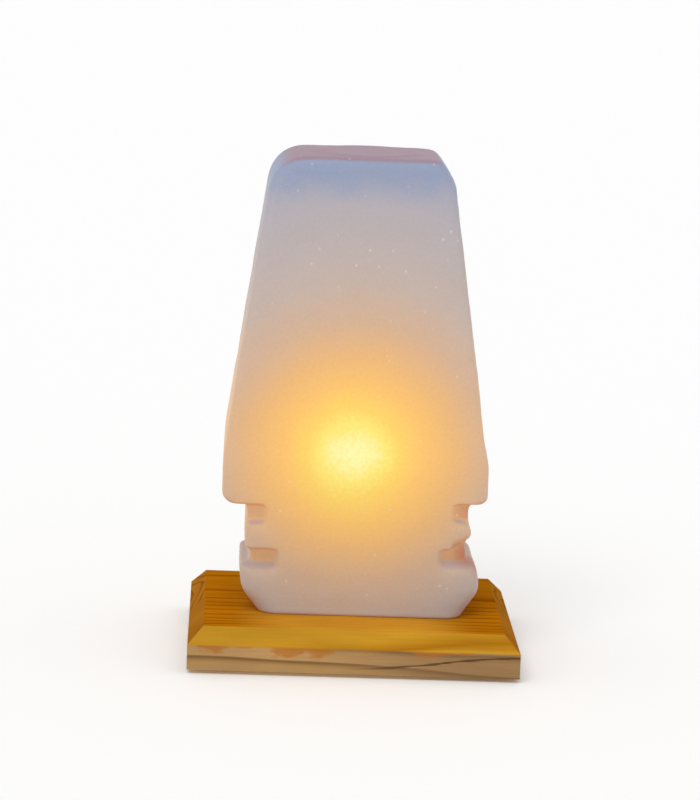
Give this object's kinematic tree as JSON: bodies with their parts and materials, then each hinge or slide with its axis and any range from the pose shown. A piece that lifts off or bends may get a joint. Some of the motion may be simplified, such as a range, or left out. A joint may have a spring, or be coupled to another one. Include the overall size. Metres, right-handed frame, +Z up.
{
  "type": "salt crystal lamp",
  "caption": "Carved pink rock salt block on a bevelled wooden board, lit from its bore by a candle bulb in a spring-clip holder.",
  "frame": {"origin": "middle of the board, on the surface that its pads stand on", "axes": "+Z up, -Y to the front, which has the broad face of the block, +X to the right seen from the front"},
  "size_m": [0.16, 0.138, 0.247],
  "materials": {
    "pink_salt": "ground and rinsed, slightly waxy",
    "pine_board": "stained top and bevel, planed pale sides",
    "rubber_pad": "matt",
    "zinc_plate": "zinc plated",
    "spring_steel": "rolled",
    "nylon_plug": "moulded",
    "brass": "stamped",
    "holder_plastic": "moulded, satin",
    "steatite": "pressed and fired",
    "capping_cement": "set cement",
    "solder": "soldered",
    "black_cap_glass": "moulded black glass",
    "nickel_plate": "nickel plated",
    "bulb_glass": "clear blown",
    "hot_tungsten": "glowing"
  },
  "bodies": {
    "lamp": {"board": "pine_board", "salt_block": "pink_salt", "pad_front_left": "rubber_pad", "pad_front_right": "rubber_pad", "pad_back_left": "rubber_pad", "pad_back_right": "rubber_pad", "fixing_screw_front_left": "zinc_plate", "fixing_screw_front_right": "zinc_plate", "fixing_screw_back_left": "zinc_plate", "fixing_screw_back_right": "zinc_plate", "screw_washer_front_left": "zinc_plate", "screw_washer_front_right": "zinc_plate", "screw_washer_back_left": "zinc_plate", "screw_washer_back_right": "zinc_plate", "salt_plug_front_left": "nylon_plug", "salt_plug_front_right": "nylon_plug", "salt_plug_back_left": "nylon_plug", "salt_plug_back_right": "nylon_plug"},
    "holder": {"clip_plate": "zinc_plate", "spring_clip": "spring_steel", "clip_nipple": "brass", "nipple_nut": "brass", "holder_cup": "holder_plastic", "holder_sleeve": "holder_plastic", "holder_insert": "steatite", "screw_shell": "brass", "centre_contact": "brass", "centre_rivet": "brass", "shell_contact": "brass", "terminal_plate_left": "brass", "terminal_plate_right": "brass", "terminal_screw_left": "zinc_plate", "terminal_screw_right": "zinc_plate"},
    "bulb_thread": {"capping_cement": "capping_cement"},
    "bulb": {"cap_contact": "solder", "cap_insulator": "black_cap_glass", "cap_shell": "nickel_plate", "bulb_glass": "bulb_glass", "bulb_stem": "bulb_glass", "filament": "hot_tungsten", "lead_wire_left": "nickel_plate", "lead_wire_right": "nickel_plate", "filament_support_left": "nickel_plate", "filament_support_right": "nickel_plate"}
  },
  "joints": [
    {"name": "holder_slide", "type": "slide", "parent": "lamp", "child": "holder", "axis": [0, 0, 1], "range_m": [-0.15, 0]},
    {"name": "bulb_rise", "type": "slide", "parent": "holder", "child": "bulb_thread", "axis": [0, 0, 1], "range_m": [0, 0.0085]},
    {"name": "bulb_turn", "type": "hinge", "parent": "bulb_thread", "child": "bulb", "pos_m": [0, 0, 0.05], "axis": [0, 0, 1], "range_deg": [0, 1080]}
  ],
  "couplings": [
    {"joint": "bulb_rise", "follows": "bulb_turn", "m_per_rad": 0.00044913}
  ]
}
